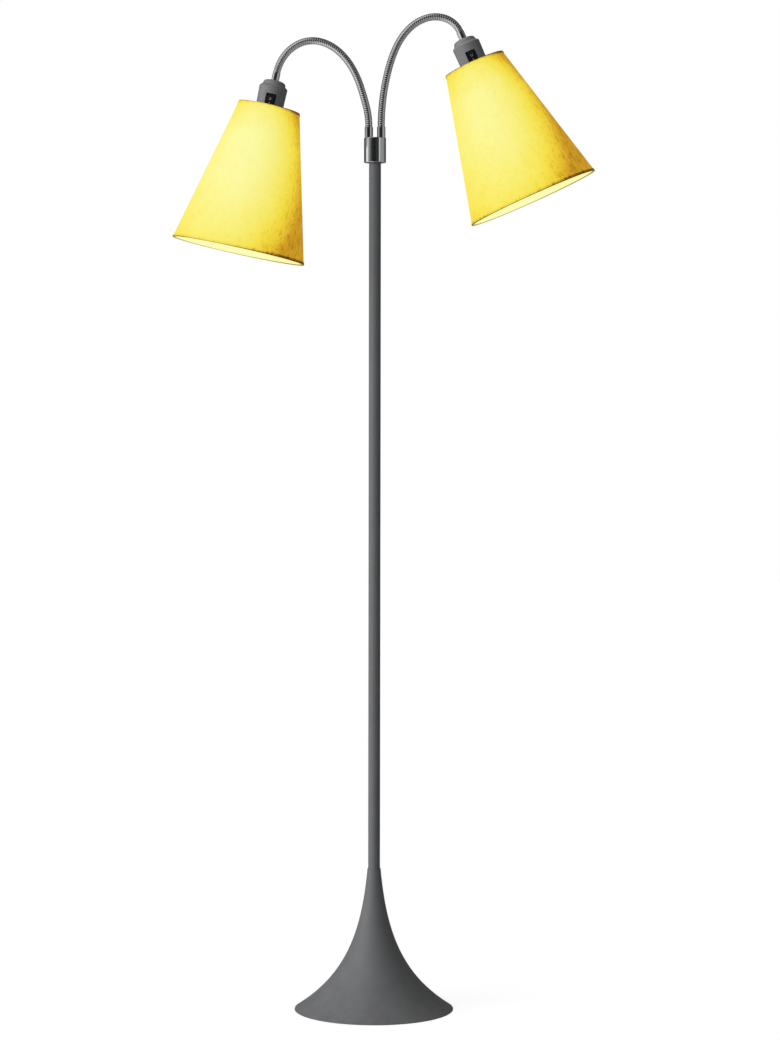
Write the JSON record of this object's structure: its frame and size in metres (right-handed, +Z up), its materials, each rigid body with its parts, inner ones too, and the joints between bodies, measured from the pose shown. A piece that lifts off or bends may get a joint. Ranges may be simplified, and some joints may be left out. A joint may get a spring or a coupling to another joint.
{
  "type": "floor lamp",
  "caption": "Floor lamp with a trumpet base, a slim pole and flexible goosenecks, each holding a switched lampholder under a paper cone shade.",
  "frame": {"origin": "on the floor under the pole, at the middle of the felt pad's underside", "axes": "+Z up along the pole, front -Y with the rocker switches, left arm towards -X"},
  "size_m": [0.634, 0.243, 1.5006],
  "materials": {
    "grey_paint": "satin",
    "chrome": "polished",
    "iron": "matte",
    "zinc_steel": "satin",
    "black_steel": "satin",
    "felt": "matte",
    "black_rubber": "matte",
    "white_plastic": "satin",
    "grey_plastic": "satin",
    "black_plastic": "gloss",
    "ceramic": "gloss",
    "brass": "satin",
    "nickel": "satin",
    "opal_glass": "gloss",
    "yellow_paper": "matte"
  },
  "bodies": {
    "stand": {"base_shell": "grey_paint", "base_weight": "iron", "base_plate": "zinc_steel", "felt_pad": "felt", "cord_grommet": "black_rubber", "terminal_block": "white_plastic", "pole_bolt": "zinc_steel", "pole_washer": "zinc_steel", "pole_plug": "zinc_steel", "pole": "grey_paint", "coupler": "chrome", "grub_screws": "black_steel", "lower_ferrules": "chrome", "pole_leads": "black_rubber", "hose_left_1": "chrome", "hose_right_1": "chrome"},
    "left_link_2": {"hose_left_2": "chrome"},
    "left_link_3": {"hose_left_3": "chrome"},
    "left_link_4": {"hose_left_4": "chrome"},
    "left_link_5": {"hose_left_5": "chrome"},
    "left_link_6": {"hose_left_6": "chrome"},
    "left_link_7": {"hose_left_7": "chrome"},
    "left_head": {"hose_left_8": "chrome", "upper_ferrule_left": "chrome", "cap_nut_left": "zinc_steel", "holder_cap_left": "grey_plastic", "switch_housing_left": "black_plastic", "holder_skirt_left": "grey_plastic", "socket_insert_left": "ceramic", "socket_contacts_left": "brass", "ring_nut_left": "grey_plastic", "bulb_cap_left": "nickel", "bulb_glass_left": "opal_glass", "shade_spider_left": "zinc_steel", "shade_shell_left": "yellow_paper", "shade_bands_left": "yellow_paper", "shade_foot_wire_left": "zinc_steel"},
    "left_rocker": {"rocker_left": "black_plastic"},
    "right_link_2": {"hose_right_2": "chrome"},
    "right_link_3": {"hose_right_3": "chrome"},
    "right_link_4": {"hose_right_4": "chrome"},
    "right_link_5": {"hose_right_5": "chrome"},
    "right_link_6": {"hose_right_6": "chrome"},
    "right_link_7": {"hose_right_7": "chrome"},
    "right_head": {"hose_right_8": "chrome", "upper_ferrule_right": "chrome", "cap_nut_right": "zinc_steel", "holder_cap_right": "grey_plastic", "switch_housing_right": "black_plastic", "holder_skirt_right": "grey_plastic", "socket_insert_right": "ceramic", "socket_contacts_right": "brass", "ring_nut_right": "grey_plastic", "bulb_cap_right": "nickel", "bulb_glass_right": "opal_glass", "shade_spider_right": "zinc_steel", "shade_shell_right": "yellow_paper", "shade_bands_right": "yellow_paper", "shade_foot_wire_right": "zinc_steel"},
    "right_rocker": {"rocker_right": "black_plastic"}
  },
  "joints": [
    {"name": "left_bend_1", "type": "hinge", "parent": "stand", "child": "left_link_2", "pos_m": [-0.01314, 0, 1.36098], "axis": [0, -1, 0], "range_deg": [-10, 15]},
    {"name": "left_bend_2", "type": "hinge", "parent": "left_link_2", "child": "left_link_3", "pos_m": [-0.0218, 0, 1.39042], "axis": [0.9489, 0, 0.3156], "range_deg": [-30, 30]},
    {"name": "left_bend_3", "type": "hinge", "parent": "left_link_3", "child": "left_link_4", "pos_m": [-0.03434, 0, 1.41839], "axis": [0, -1, 0], "range_deg": [-25, 12]},
    {"name": "left_bend_4", "type": "hinge", "parent": "left_link_4", "child": "left_link_5", "pos_m": [-0.0535, 0, 1.44222], "axis": [0, 1, 0], "range_deg": [-12, 30]},
    {"name": "left_bend_5", "type": "hinge", "parent": "left_link_5", "child": "left_link_6", "pos_m": [-0.08005, 0, 1.45711], "axis": [0, 1, 0], "range_deg": [-12, 30]},
    {"name": "left_bend_6", "type": "hinge", "parent": "left_link_6", "child": "left_link_7", "pos_m": [-0.1102, 0, 1.45601], "axis": [-0.3502, 0, 0.9367], "range_deg": [-30, 30]},
    {"name": "left_bend_7", "type": "hinge", "parent": "left_link_7", "child": "left_head", "pos_m": [-0.13465, 0, 1.43808], "axis": [0, 1, 0], "range_deg": [-12, 30]},
    {"name": "left_switch", "type": "hinge", "parent": "left_head", "child": "left_rocker", "pos_m": [-0.15686, -0.0178, 1.36751], "axis": [-0.9774, 0, 0.2113], "range_deg": [0, 18]},
    {"name": "right_bend_1", "type": "hinge", "parent": "stand", "child": "right_link_2", "pos_m": [0.01059, 0, 1.36126], "axis": [0, 1, 0], "range_deg": [-10, 15]},
    {"name": "right_bend_2", "type": "hinge", "parent": "right_link_2", "child": "right_link_3", "pos_m": [0.01459, 0, 1.39169], "axis": [0.9842, 0, -0.1771], "range_deg": [-30, 30]},
    {"name": "right_bend_3", "type": "hinge", "parent": "right_link_3", "child": "right_link_4", "pos_m": [0.02147, 0, 1.4216], "axis": [0, 1, 0], "range_deg": [-25, 15]},
    {"name": "right_bend_4", "type": "hinge", "parent": "right_link_4", "child": "right_link_5", "pos_m": [0.03216, 0, 1.45034], "axis": [0, -1, 0], "range_deg": [-15, 30]},
    {"name": "right_bend_5", "type": "hinge", "parent": "right_link_5", "child": "right_link_6", "pos_m": [0.04934, 0, 1.47562], "axis": [0, -1, 0], "range_deg": [-15, 30]},
    {"name": "right_bend_6", "type": "hinge", "parent": "right_link_6", "child": "right_link_7", "pos_m": [0.0748, 0, 1.49226], "axis": [0.3355, 0, -0.9421], "range_deg": [-30, 30]},
    {"name": "right_bend_7", "type": "hinge", "parent": "right_link_7", "child": "right_head", "pos_m": [0.10495, 0, 1.49263], "axis": [0, -1, 0], "range_deg": [-15, 30]},
    {"name": "right_switch", "type": "hinge", "parent": "right_head", "child": "right_rocker", "pos_m": [0.14497, -0.0178, 1.43244], "axis": [-0.9135, 0, -0.4067], "range_deg": [0, 18]}
  ]
}
